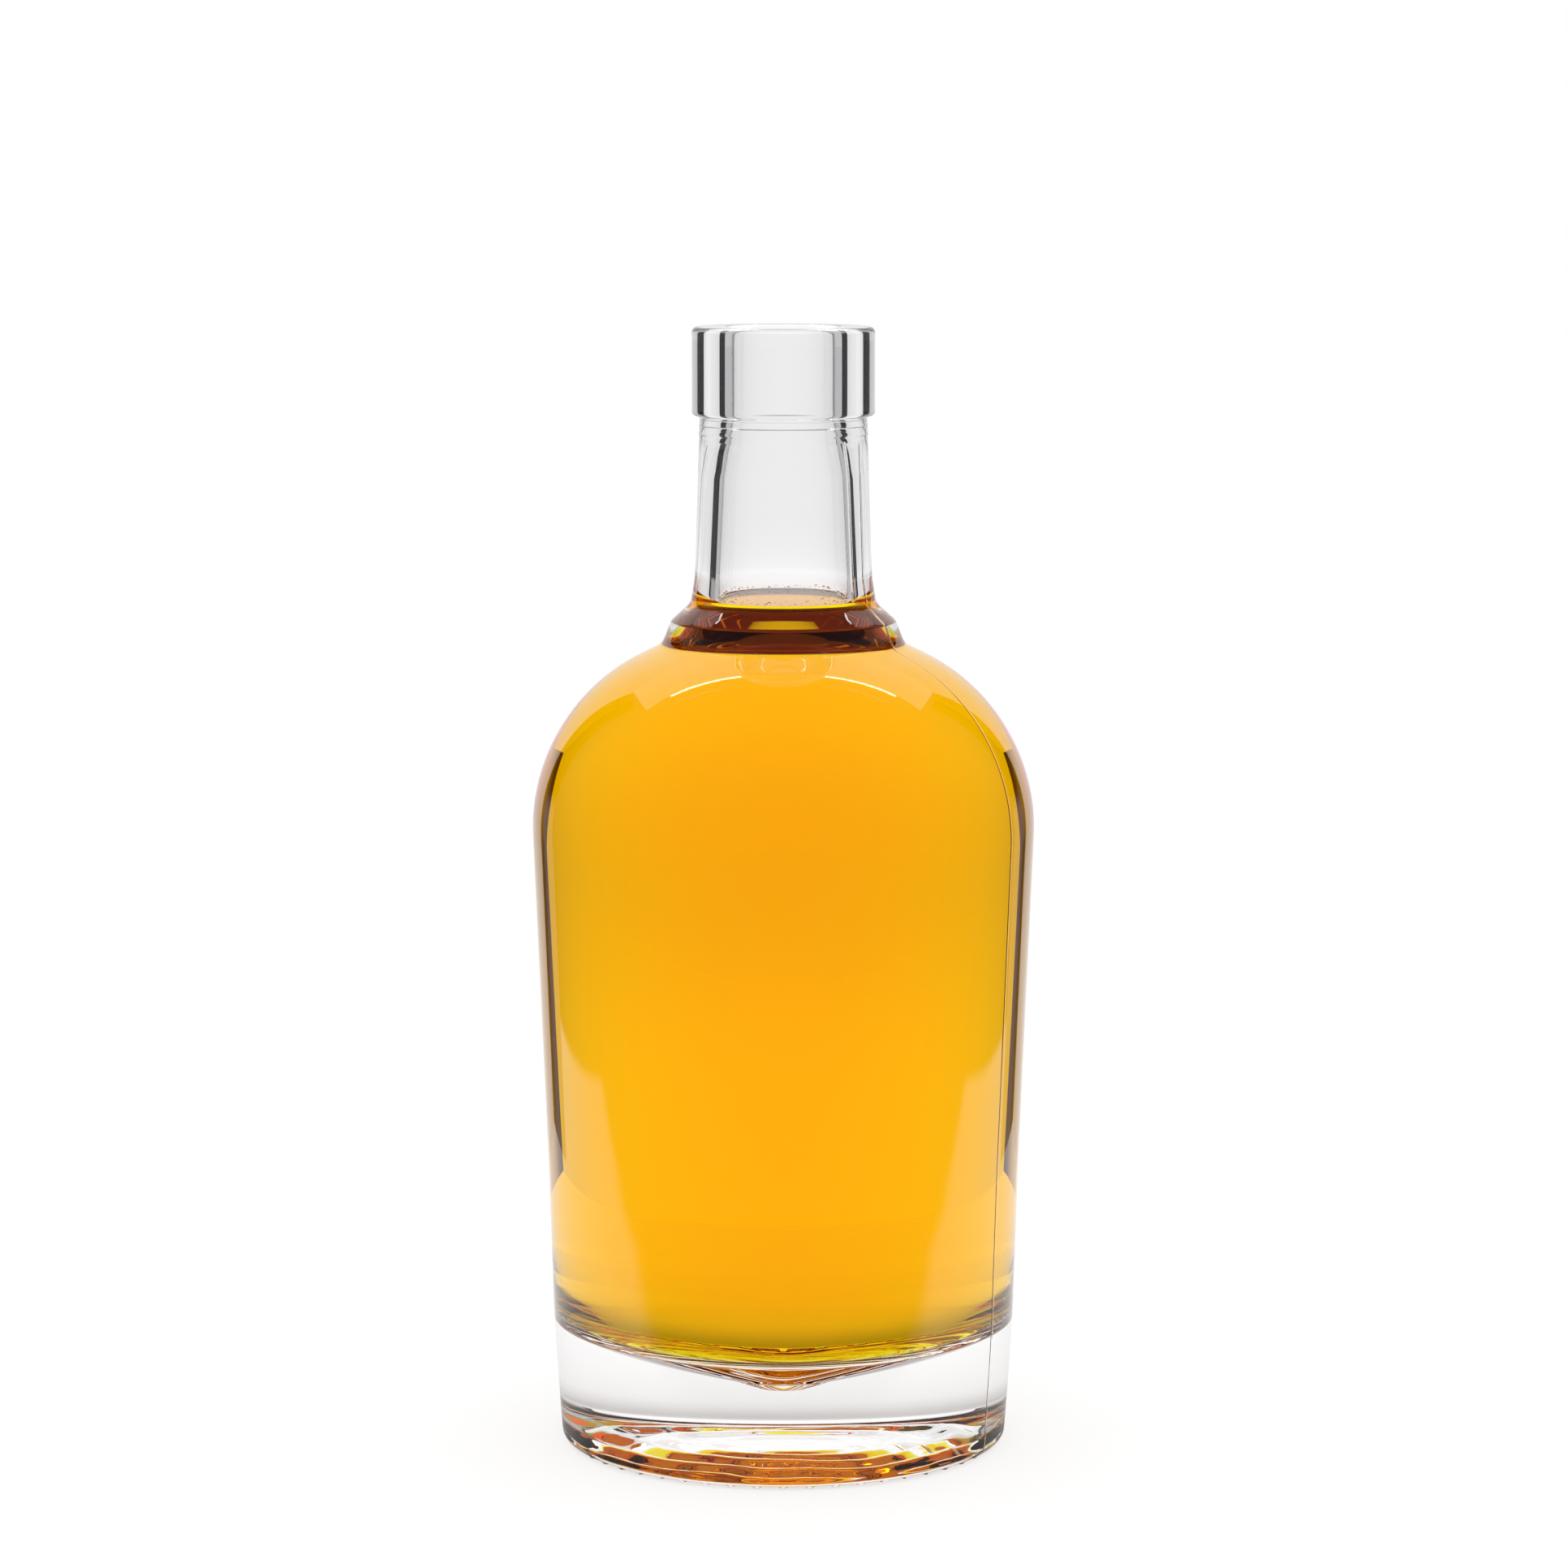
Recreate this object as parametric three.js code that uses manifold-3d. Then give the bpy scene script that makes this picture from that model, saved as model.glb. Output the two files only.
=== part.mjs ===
// A clear glass spirits bottle with round shoulders, a low collar at the foot of
// its neck and a plain cork finish, filled with an amber drink into the neck.
// Millimetres, +Z up. The origin is on the floor, on the bottle's axis.

import * as THREE from "three";
import { mergeVertices } from "three/addons/utils/BufferGeometryUtils.js";
import Module from "manifold-3d";

// Outside heights, each measured up from the one before it
const standHeight = 0.45;
const heelTaperHeight = 19.5;
const waistRise = 30;
const sideRise = 56;
const shoulderRise = 33.95;
const collarHeight = 4;
const collarShelfRise = 3.1;
const neckFootRise = 4.8;
const neckLength = 27.4;
const finishHeight = 15.3;

// Outside radii, and steps between them
const heelRadius = 38.8;
const heelTaperRadius = 40.2;
const waistRadius = 41.15;
const bodyRadius = 43.5;
const collarRimRadius = 19.45;
const collarFlare = 1.6;
const neckRadius = 14.4;
const neckTaper = 0.9;
const collarShelfStep = 0.75;
const finishStep = 1.35;

// Outside slopes and roundings
const shoulderSlopeDegrees = 26.6;
const heelRound = 1.4;
const standRound = 1.2;
const sideRound = 260;
const shoulderRound = 33.6;
const collarFootRound = 2.6;
const collarRimRound = 1.5;
const collarShelfRound = 2.6;
const neckFootRound = 12;
const finishStepRound = 0.6;
const finishUnderRound = 0.9;
const lipRound = 1.0;

// Thick base: the push-up under it, and the bowl with its pip on top
const standWidth = 4.2;
const pushUpDepth = 2.4;
const baseThickness = 9.4;
const pipRadius = 2.2;
const pipFlankRadius = 6;
const pipFlankRise = 1.6;
const floorRise = 7.8;
const pipRound = 4;
const pipFlankRound = 12;
const floorCornerRound = 9;

// Wall thicknesses, and the inside of the neck and mouth
const bodyWall = 3.7;
const shoulderWall = 3.6;
const neckRootRound = 8;
const neckRootRadius = 11.8;
const neckBoreRadius = 10.45;
const corkBoreRadius = 9;
const corkBoreDepth = 16.3;
const boreFlareLength = 9.1;
const boreFlareRound = 14;
const mouthChamfer = 0.9;

// Knurls under the heel, on which the bottle stands
const knurlCount = 52;
const knurlLength = 2.6;
const knurlWidth = 2;
const knurlFootWidth = 1.1;
const knurlSink = 0.3;
const knurlSides = 8;

// The drink
const headspace = 47.5;
const drinkClearance = 0.3;

// Fineness of the round shapes: one flat for each knurl, and the most that a
// straight step may leave a round in section
const sidesAround = knurlCount;
const chordError = 0.08;

// Heights above the floor that follow from the sizes above
const heelTaperTop = standHeight + heelTaperHeight;
const waistHeight = heelTaperTop + waistRise;
const widestHeight = waistHeight + sideRise;
const shoulderEnd = widestHeight + shoulderRise;
const collarRimHeight = shoulderEnd + collarHeight;
const collarShelfHeight = collarRimHeight + collarShelfRise;
const neckStart = collarShelfHeight + neckFootRise;
const finishBottom = neckStart + neckLength;
const bottleHeight = finishBottom + finishHeight;
const pipHeight = standHeight + pushUpDepth + baseThickness;
const fillHeight = bottleHeight - headspace;

// Radii that follow from the sizes above
const neckFootRadius = neckRadius + neckTaper;
const finishRadius = neckRadius + finishStep;
const collarFootRadius = collarRimRadius + collarFlare;
const knurlRingRadius = heelRadius - standWidth / 2;

const shoulderFall = Math.tan(THREE.MathUtils.degToRad(shoulderSlopeDegrees));

// The corner where the straight side from waist to widest point, carried on up,
// meets the slope that falls outwards from the top of the shoulder.
function shoulderCorner(waist, widest, top) {
  const lean = (widest.r - waist.r) / (widest.z - waist.z);
  const rise = (top.z - widest.z - shoulderFall * (widest.r - top.r)) / (1 + shoulderFall * lean);
  return { r: widest.r + lean * rise, z: widest.z + rise };
}

// How far along its two edges each rounded corner reaches. Where two reaches
// would cross on a short edge, both are shortened to share it.
function cornerReaches(corners) {
  const wanted = corners.map((corner, index) => {
    if (!corner.round) return { turn: 0, reach: 0 };
    const back = edge(corners[index], corners[index - 1]);
    const on = edge(corners[index], corners[index + 1]);
    const turn = Math.PI - back.angleTo(on);
    return { turn, reach: corner.round * Math.tan(turn / 2) };
  });
  const fits = (a, b) => {
    const length = edge(corners[a], corners[b]).length();
    return Math.min(1, length / (wanted[a].reach + wanted[b].reach));
  };
  return wanted.map(({ turn, reach }, index) => {
    if (reach === 0) return { turn, reach };
    return { turn, reach: reach * Math.min(fits(index - 1, index), fits(index, index + 1)) };
  });
}

function edge(from, to) {
  return new THREE.Vector2(to.r - from.r, to.z - from.z);
}

// Outline points for a row of corners, with an arc at each one that has a round
function roundedOutline(corners) {
  const reaches = cornerReaches(corners);
  return corners.flatMap((corner, index) => {
    const tip = new THREE.Vector2(corner.r, corner.z);
    const { turn, reach } = reaches[index];
    if (reach === 0) return [tip];
    const back = edge(corner, corners[index - 1]).normalize();
    const on = edge(corner, corners[index + 1]).normalize();
    const radius = reach / Math.tan(turn / 2);
    const middle = back.clone().add(on).normalize();
    const centre = tip.clone().addScaledVector(middle, radius / Math.cos(turn / 2));
    const spoke = tip.clone().addScaledVector(back, reach).sub(centre);
    const turnsLeft = Math.sign(on.cross(back));
    const stepAngle = 2 * Math.acos(Math.max(0, 1 - chordError / radius));
    const steps = Math.ceil(turn / stepAngle);
    const points = [];
    for (let step = 0; step <= steps; step += 1) {
      const angle = (turnsLeft * turn * step) / steps;
      points.push(spoke.clone().rotateAround(new THREE.Vector2(), angle).add(centre));
    }
    return points;
  });
}

// Outside of the glass, from the middle of the underside to the lip
function outsideCorners() {
  const pushUpRadius = heelRadius - standWidth;
  const waist = { r: waistRadius, z: waistHeight };
  const widest = { r: bodyRadius, z: widestHeight };
  const collarFoot = { r: collarFootRadius, z: shoulderEnd };
  const pushUpTop = standHeight + pushUpDepth;
  return [
    { r: 0, z: pushUpTop },
    { r: pushUpRadius / 2, z: pushUpTop, round: (pushUpRadius * pushUpRadius) / (4 * pushUpDepth) },
    { r: pushUpRadius, z: standHeight, round: standRound },
    { r: heelRadius, z: standHeight, round: heelRound },
    { r: heelTaperRadius, z: heelTaperTop, round: sideRound },
    { ...waist, round: sideRound },
    { ...shoulderCorner(waist, widest, collarFoot), round: shoulderRound },
    { ...collarFoot, round: collarFootRound },
    { r: collarRimRadius, z: collarRimHeight, round: collarRimRound },
    { r: neckFootRadius + collarShelfStep, z: collarShelfHeight, round: collarShelfRound },
    { r: neckFootRadius, z: neckStart, round: neckFootRound },
    { r: neckRadius, z: finishBottom, round: finishStepRound },
    { r: finishRadius, z: finishBottom, round: finishUnderRound },
    { r: finishRadius, z: bottleHeight, round: lipRound },
  ];
}

// Inside of the glass, from the mouth down to the middle of the floor
function insideCorners() {
  const flareTop = bottleHeight - corkBoreDepth;
  const slopeLength = Math.hypot(1, shoulderFall);
  const rootRise = shoulderFall * (collarFootRadius - neckRootRadius);
  const neckRoot = { r: neckRootRadius, z: shoulderEnd + rootRise - shoulderWall * slopeLength };
  const waist = { r: waistRadius - bodyWall, z: waistHeight };
  const widest = { r: bodyRadius - bodyWall, z: widestHeight };
  return [
    { r: corkBoreRadius + mouthChamfer, z: bottleHeight },
    { r: corkBoreRadius, z: bottleHeight - mouthChamfer },
    { r: corkBoreRadius, z: flareTop, round: boreFlareRound },
    { r: neckBoreRadius, z: flareTop - boreFlareLength, round: boreFlareRound },
    { ...neckRoot, round: neckRootRound },
    { ...shoulderCorner(waist, widest, neckRoot), round: shoulderRound - bodyWall },
    { ...waist, round: sideRound },
    { r: heelTaperRadius - bodyWall, z: pipHeight + pipFlankRise + floorRise, round: floorCornerRound },
    { r: pipFlankRadius, z: pipHeight + pipFlankRise, round: pipFlankRound },
    { r: pipRadius, z: pipHeight, round: pipRound },
    { r: 0, z: pipHeight },
  ];
}

// The same outline, moved sideways off the glass by a clearance
function movedIn(outline, clearance) {
  return outline.map((point, index) => {
    const before = outline[Math.max(index - 1, 0)];
    const after = outline[Math.min(index + 1, outline.length - 1)];
    const along = after.clone().sub(before).normalize();
    const inward = new THREE.Vector2(along.y, -along.x);
    const moved = point.clone().addScaledVector(inward, clearance);
    if (point.x === 0) moved.x = 0;
    return moved;
  });
}

// What lies below a height, closed by a level top
function filledTo(outline, height) {
  const firstBelow = outline.findIndex((point) => point.y < height);
  const above = outline[firstBelow - 1];
  const below = outline[firstBelow];
  const brim = above.clone().lerp(below, (above.y - height) / (above.y - below.y));
  return [new THREE.Vector2(0, height), brim, ...outline.slice(firstBelow)];
}

// Turns an outline round the upright axis, with an edge on each side of X and Y.
// The outline runs from the bottom of the axis outwards, so that the faces point out.
function turned(outline) {
  return new THREE.LatheGeometry(outline, sidesAround).rotateX(Math.PI / 2);
}

// One knurl: a low tapered boss, longer towards the axis than it is wide
function knurl(angle) {
  const height = standHeight + knurlSink;
  const boss = new THREE.CylinderGeometry(knurlWidth / 2, knurlFootWidth / 2, height, knurlSides);
  boss.rotateX(Math.PI / 2);
  boss.scale(knurlLength / knurlWidth, 1, 1);
  boss.translate(knurlRingRadius, 0, height / 2);
  return boss.rotateZ(angle);
}

const wasm = await Module();
wasm.setup();

// A solid with shared corners, ready to be joined
function toSolid(geometry) {
  const bare = geometry.clone();
  bare.deleteAttribute("normal");
  bare.deleteAttribute("uv");
  const welded = mergeVertices(bare);
  return new wasm.Manifold(new wasm.Mesh({
    numProp: 3,
    vertProperties: new Float32Array(welded.attributes.position.array),
    triVerts: new Uint32Array(welded.index.array),
  }));
}

function toGeometry(solid) {
  const mesh = solid.getMesh();
  const geometry = new THREE.BufferGeometry();
  geometry.setAttribute("position", new THREE.BufferAttribute(mesh.vertProperties, 3));
  geometry.setIndex(new THREE.BufferAttribute(mesh.triVerts, 1));
  geometry.computeVertexNormals();
  return geometry;
}

function bottleMesh() {
  const section = roundedOutline([...outsideCorners(), ...insideCorners()]);
  let glass = toSolid(turned(section));
  for (let index = 0; index < knurlCount; index += 1) {
    glass = glass.add(toSolid(knurl((2 * Math.PI * index) / knurlCount)));
  }
  const clearGlass = new THREE.MeshStandardMaterial({
    color: 0xe9ebee,
    roughness: 0.03,
    metalness: 0,
    transparent: true,
    opacity: 0.35,
  });
  const mesh = new THREE.Mesh(toGeometry(glass), clearGlass);
  mesh.name = "bottle";
  return mesh;
}

function drinkMesh() {
  const wetWall = movedIn(roundedOutline(insideCorners()), drinkClearance);
  const amber = new THREE.MeshStandardMaterial({
    color: 0xf5a800,
    roughness: 0.05,
    metalness: 0,
    transparent: true,
    opacity: 0.8,
  });
  const mesh = new THREE.Mesh(turned(filledTo(wetWall, fillHeight).reverse()), amber);
  mesh.name = "drink";
  return mesh;
}

const model = new THREE.Group();
model.add(bottleMesh(), drinkMesh());

export default model;
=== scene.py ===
"""Dresses a filled glass spirits bottle: the clear glass, the amber drink and what clings to the glass."""

import logging
import math
from collections.abc import Iterable
from dataclasses import dataclass, field
from enum import Enum

import bpy
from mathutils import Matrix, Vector


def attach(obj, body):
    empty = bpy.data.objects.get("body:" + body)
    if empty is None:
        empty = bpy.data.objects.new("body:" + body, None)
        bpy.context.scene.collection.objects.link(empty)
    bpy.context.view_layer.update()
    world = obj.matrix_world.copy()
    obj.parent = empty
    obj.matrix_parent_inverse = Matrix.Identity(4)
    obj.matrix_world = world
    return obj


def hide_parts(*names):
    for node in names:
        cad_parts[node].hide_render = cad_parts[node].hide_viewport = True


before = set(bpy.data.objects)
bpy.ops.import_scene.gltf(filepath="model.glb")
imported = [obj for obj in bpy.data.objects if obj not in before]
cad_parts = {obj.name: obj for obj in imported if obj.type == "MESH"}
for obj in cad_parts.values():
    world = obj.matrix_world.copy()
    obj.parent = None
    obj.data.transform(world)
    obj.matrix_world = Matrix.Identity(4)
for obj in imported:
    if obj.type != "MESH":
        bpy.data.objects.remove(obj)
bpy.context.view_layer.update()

MM = 0.001
LOG = logging.getLogger("bottle")

# How far, in millimetres, a straight step may stray from an arc of the section
ARC_STRAY = 0.005

# Indices of refraction against air
GLASS_IOR = 1.52
DRINK_IOR = 1.36

# The face attribute in which the drink and its droplets keep the index of their surface
SURFACE_IOR = "surface_ior"

# How often light may bounce, in all and through the glass, and off a gloss
BOUNCES = 32
GLOSSY_BOUNCES = 8

# Radius, height and round of a corner of the section, and radius and height of a point of it
Corner = tuple[float, float, float]
Point = tuple[float, float]

# A place in metres
Spot = tuple[float, float, float]

# Where a fade is 0, and where it is 1
Span = tuple[float, float]

Colour = tuple[float, float, float]
WHITE: Colour = (1.0, 1.0, 1.0)


class Face(Enum):
    """What a face of the glass touches. The value is the face's material slot."""

    DRY = 0
    WETTED = 1


def edge(start: Point, end: Point) -> Vector:
    """The vector from one section point to another."""
    return Vector((end[0] - start[0], end[1] - start[1]))


def corner_reaches(corners: list[Corner]) -> list[tuple[float, float]]:
    """Works out how far along its edges each rounded corner reaches.

    Args:
        corners: radius, height and round of each corner, in millimetres.

    Returns:
        The turn in radians and the reach in millimetres of each corner.
    """
    wanted = []
    for index, corner in enumerate(corners):
        if corner[2] <= 0:
            wanted.append((0.0, 0.0))
            continue
        back = edge(corner[:2], corners[index - 1][:2])
        onward = edge(corner[:2], corners[index + 1][:2])
        turn = math.pi - back.angle(onward)
        wanted.append((turn, corner[2] * math.tan(turn / 2)))

    def fits(first: int, second: int) -> float:
        """The share of both reaches that the edge between two corners has room for."""
        length = edge(corners[first][:2], corners[second][:2]).length
        return min(1.0, length / (wanted[first][1] + wanted[second][1]))

    reaches = []
    for index, (turn, reach) in enumerate(wanted):
        if reach > 0:
            reach *= min(fits(index - 1, index), fits(index, index + 1))
        reaches.append((turn, reach))
    return reaches


def rounded_outline(corners: list[Corner]) -> list[Point]:
    """Turns a row of corners into outline points, with an arc at each rounded one.

    Args:
        corners: radius, height and round of each corner, in millimetres.

    Returns:
        Radius and height of each outline point, in millimetres.
    """
    points: list[Point] = []
    for index, (turn, reach) in enumerate(corner_reaches(corners)):
        tip = Vector(corners[index][:2])
        if reach <= 0:
            points.append(tuple(tip))
            continue
        back = edge(tip, corners[index - 1][:2]).normalized()
        onward = edge(tip, corners[index + 1][:2]).normalized()
        radius = reach / math.tan(turn / 2)
        centre = tip + (back + onward).normalized() * (radius / math.cos(turn / 2))
        spoke = tip + back * reach - centre
        side = 1.0 if onward.cross(back) > 0 else -1.0
        step = 2 * math.acos(max(0.0, 1 - ARC_STRAY / radius))
        steps = max(1, math.ceil(turn / step))
        for number in range(steps + 1):
            angle = side * turn * number / steps
            cosine, sine = math.cos(angle), math.sin(angle)
            turned = Vector((spoke.x * cosine - spoke.y * sine, spoke.x * sine + spoke.y * cosine))
            points.append(tuple(centre + turned))
    return points


def divided(outline: list[Point], longest: float) -> list[Point]:
    """Splits the long steps of an outline.

    Args:
        outline: radius and height of each point, in millimetres.
        longest: the longest step that stays whole, in millimetres.

    Returns:
        The outline with its long steps split evenly.
    """
    points = [outline[0]]
    for start, end in zip(outline, outline[1:]):
        pieces = max(1, math.ceil(edge(start, end).length / longest))
        for number in range(1, pieces + 1):
            share = number / pieces
            radius = start[0] + (end[0] - start[0]) * share
            points.append((radius, start[1] + (end[1] - start[1]) * share))
    return points


def turned_mesh(name: str, outline: list[Point], columns: int, slots: list[int],
                finer: dict[int, int] | None = None) -> bpy.types.Mesh:
    """Turns an outline about the upright axis into a closed mesh that faces out.

    Args:
        name: name of the mesh.
        outline: points from the axis at the bottom, round the section and back to the axis.
        columns: count of upright rows of corners.
        slots: material slot of each step of the outline.
        finer: for some outline points, how many times as many corners their ring has.

    Returns:
        The mesh, in metres.
    """
    finer = finer or {}
    corners: list[Spot] = []
    rings: list[list[int]] = []
    for number, (radius, height) in enumerate(outline):
        count = 1 if radius < 1e-6 else columns * finer.get(number, 1)
        first = len(corners)
        for k in range(count):
            angle = 2 * math.pi * k / count
            corners.append((radius * math.cos(angle) * MM, radius * math.sin(angle) * MM, height * MM))
        rings.append(list(range(first, first + count)))
    faces: list[list[int]] = []
    face_slots: list[int] = []
    for number, (low, high) in enumerate(zip(rings, rings[1:])):
        cells = max(min(len(low), len(high)), columns)
        for k in range(cells):
            faces.append(stretch_of(low, k, cells) + stretch_of(high, k, cells)[::-1])
            face_slots.append(slots[number])
    mesh = bpy.data.meshes.new(name)
    mesh.from_pydata(corners, [], faces)
    mesh.polygons.foreach_set("use_smooth", [True] * len(mesh.polygons))
    mesh.polygons.foreach_set("material_index", face_slots)
    mesh.update()
    return mesh


def stretch_of(ring: list[int], cell: int, cells: int) -> list[int]:
    """Finds the corners of a ring that bound one of its cells.

    Args:
        ring: the corners of the ring.
        cell: which cell it is.
        cells: count of cells round the ring.

    Returns:
        The corners along the cell, or the ring's only corner on the axis.
    """
    if len(ring) == 1:
        return ring
    step = len(ring) // cells
    return [ring[(cell * step + k) % len(ring)] for k in range(step + 1)]


@dataclass
class Section:
    """The bottle's section. Sizes are in millimetres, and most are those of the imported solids."""

    # Outside heights, each measured up from the one before it
    stand_height: float = 0.45
    heel_taper_height: float = 19.5
    waist_rise: float = 30.0
    side_rise: float = 56.0
    shoulder_rise: float = 33.95
    collar_height: float = 4.0
    collar_shelf_rise: float = 3.1
    neck_foot_rise: float = 4.8
    neck_length: float = 27.4
    finish_height: float = 15.3

    # Outside radii, steps between them, and the shoulder's slope
    heel_radius: float = 38.8
    heel_taper_radius: float = 40.2
    waist_radius: float = 41.15
    body_radius: float = 43.46
    collar_rim_radius: float = 19.45
    collar_flare: float = 1.6
    neck_radius: float = 14.4
    neck_taper: float = 0.9
    collar_shelf_step: float = 0.75
    finish_step: float = 1.35
    shoulder_slope_degrees: float = 26.6

    # Outside roundings, from the foot up
    stand_round: float = 1.2
    heel_round: float = 1.4
    side_round: float = 260.0
    shoulder_round: float = 33.6
    collar_foot_round: float = 2.6
    collar_rim_round: float = 1.5
    collar_shelf_round: float = 2.6
    neck_foot_round: float = 12.0
    finish_step_round: float = 0.6
    finish_under_round: float = 0.9
    lip_round: float = 1.0

    # Thick base: the push-up under it, and the bowl with its pip on top
    stand_width: float = 4.2
    push_up_depth: float = 2.4
    base_thickness: float = 9.4
    pip_radius: float = 2.2
    pip_flank_radius: float = 6.0
    pip_flank_rise: float = 1.6
    floor_rise: float = 7.8

    # Wall, and the inside of the neck and mouth
    body_wall: float = 3.7
    shoulder_wall: float = 3.6
    neck_root_radius: float = 11.8
    neck_bore_radius: float = 10.45
    cork_bore_radius: float = 9.0
    cork_bore_depth: float = 16.3
    bore_flare_length: float = 9.1
    mouth_chamfer: float = 0.9

    # Inside roundings, from the mouth down
    mouth_round: float = 0.7
    chamfer_round: float = 0.9
    bore_flare_round: float = 14.0
    neck_root_round: float = 8.0
    inner_shoulder_round: float = 29.9
    floor_corner_round: float = 9.0
    pip_flank_round: float = 12.0
    pip_round: float = 4.0

    # Rings that the neck mould leaves, each so far under the finish
    parting_drops: tuple[float, float] = (3.0, 1.5)
    parting_width: float = 0.7
    parting_height: float = 0.09
    parting_round: float = 0.3

    # The drink's surface under the lip, and its rise at the glass
    headspace: float = 47.5
    meniscus: float = 0.1

    @property
    def waist_height(self) -> float:
        """Height of the waist above the floor."""
        return self.stand_height + self.heel_taper_height + self.waist_rise

    @property
    def widest_height(self) -> float:
        """Height of the widest point of the side."""
        return self.waist_height + self.side_rise

    @property
    def shoulder_end(self) -> float:
        """Height at which the shoulder meets the collar."""
        return self.widest_height + self.shoulder_rise

    @property
    def collar_rim(self) -> float:
        """Height of the collar's rim."""
        return self.shoulder_end + self.collar_height

    @property
    def neck_start(self) -> float:
        """Height at which the neck's straight taper starts."""
        return self.collar_rim + self.collar_shelf_rise + self.neck_foot_rise

    @property
    def finish_bottom(self) -> float:
        """Height of the finish's underside."""
        return self.neck_start + self.neck_length

    @property
    def height(self) -> float:
        """Height of the bottle."""
        return self.finish_bottom + self.finish_height

    @property
    def pip_height(self) -> float:
        """Height of the lowest point of the floor inside."""
        return self.stand_height + self.push_up_depth + self.base_thickness

    @property
    def fill_height(self) -> float:
        """Height of the drink's level surface."""
        return self.height - self.headspace

    @property
    def shoulder_fall(self) -> float:
        """Fall of the shoulder's top for each millimetre outwards."""
        return math.tan(math.radians(self.shoulder_slope_degrees))

    def shoulder_corner(self, waist: Point, widest: Point, top: Point) -> Point:
        """Finds where the side, carried on up, meets the slope from the shoulder's top.

        Args:
            waist: a point of the side.
            widest: a higher point of the side.
            top: the point where the slope starts.

        Returns:
            Radius and height of the corner.
        """
        lean = (widest[0] - waist[0]) / (widest[1] - waist[1])
        fall = self.shoulder_fall
        rise = (top[1] - widest[1] - fall * (widest[0] - top[0])) / (1 + fall * lean)
        return (widest[0] + lean * rise, widest[1] + rise)

    def outside(self) -> list[Corner]:
        """The glass's outside.

        Returns:
            Its corners, from the middle of the underside to the lip.
        """
        push_up_radius = self.heel_radius - self.stand_width
        push_up_top = self.stand_height + self.push_up_depth
        waist = (self.waist_radius, self.waist_height)
        widest = (self.body_radius, self.widest_height)
        collar_foot = (self.collar_rim_radius + self.collar_flare, self.shoulder_end)
        neck_foot = self.neck_radius + self.neck_taper
        shelf_radius = neck_foot + self.collar_shelf_step
        finish_radius = self.neck_radius + self.finish_step
        return [
            (0.0, push_up_top, 0.0),
            (push_up_radius / 2, push_up_top, push_up_radius**2 / (4 * self.push_up_depth)),
            (push_up_radius, self.stand_height, self.stand_round),
            (self.heel_radius, self.stand_height, self.heel_round),
            (self.heel_taper_radius, self.stand_height + self.heel_taper_height, self.side_round),
            (*waist, self.side_round),
            (*self.shoulder_corner(waist, widest, collar_foot), self.shoulder_round),
            (*collar_foot, self.collar_foot_round),
            (self.collar_rim_radius, self.collar_rim, self.collar_rim_round),
            (shelf_radius, self.collar_rim + self.collar_shelf_rise, self.collar_shelf_round),
            (neck_foot, self.neck_start, self.neck_foot_round),
            *self.parting_rings(),
            (self.neck_radius, self.finish_bottom, self.finish_step_round),
            (finish_radius, self.finish_bottom, self.finish_under_round),
            (finish_radius, self.height, self.lip_round),
        ]

    def parting_rings(self) -> list[Corner]:
        """The two fine rings that the parting of the neck mould leaves just under the finish.

        Returns:
            Their corners, from the lower ring up.
        """
        corners: list[Corner] = []
        for drop in self.parting_drops:
            middle = self.finish_bottom - drop
            for rise, out in ((-0.5, 0.0), (0.0, self.parting_height), (0.5, 0.0)):
                height = middle + rise * self.parting_width
                slope = self.neck_taper / self.neck_length
                radius = self.neck_radius + (self.finish_bottom - height) * slope + out
                corners.append((radius, height, self.parting_round if out else 0.0))
        return corners

    def bore_at(self, height: float) -> Point:
        """The point of the bore at one height.

        Args:
            height: a height between the shoulder and the mouth, in millimetres.

        Returns:
            Radius and height of the point.
        """
        outline = rounded_outline(self.outside() + self.inside())
        for (r0, z0), (r1, z1) in zip(outline, outline[1:]):
            if z0 > height >= z1 and r0 < self.neck_root_radius + 1:
                share = (z0 - height) / (z0 - z1)
                return (r0 + (r1 - r0) * share, height)
        raise ValueError("the height lies outside the neck")

    def inside(self) -> list[Corner]:
        """The glass's inside.

        Returns:
            Its corners, from the mouth to the middle of the floor.
        """
        flare_top = self.height - self.cork_bore_depth
        collar_foot_radius = self.collar_rim_radius + self.collar_flare
        root_rise = self.shoulder_fall * (collar_foot_radius - self.neck_root_radius)
        root_drop = self.shoulder_wall * math.hypot(1, self.shoulder_fall)
        root = (self.neck_root_radius, self.shoulder_end + root_rise - root_drop)
        waist = (self.waist_radius - self.body_wall, self.waist_height)
        widest = (self.body_radius - self.body_wall, self.widest_height)
        floor_radius = self.heel_taper_radius - self.body_wall
        flank_height = self.pip_height + self.pip_flank_rise
        return [
            (self.cork_bore_radius + self.mouth_chamfer, self.height, self.mouth_round),
            (self.cork_bore_radius, self.height - self.mouth_chamfer, self.chamfer_round),
            (self.cork_bore_radius, flare_top, self.bore_flare_round),
            (self.neck_bore_radius, flare_top - self.bore_flare_length, self.bore_flare_round),
            (*root, self.neck_root_round),
            (*self.shoulder_corner(waist, widest, root), self.inner_shoulder_round),
            (*waist, self.side_round),
            (floor_radius, flank_height + self.floor_rise, self.floor_corner_round),
            (self.pip_flank_radius, flank_height, self.pip_flank_round),
            (self.pip_radius, self.pip_height, self.pip_round),
            (0.0, self.pip_height, 0.0),
        ]

    def wet_edge(self) -> Point:
        """The point of the inside at which the wetted glass ends."""
        return self.bore_at(self.fill_height + self.meniscus)

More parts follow.
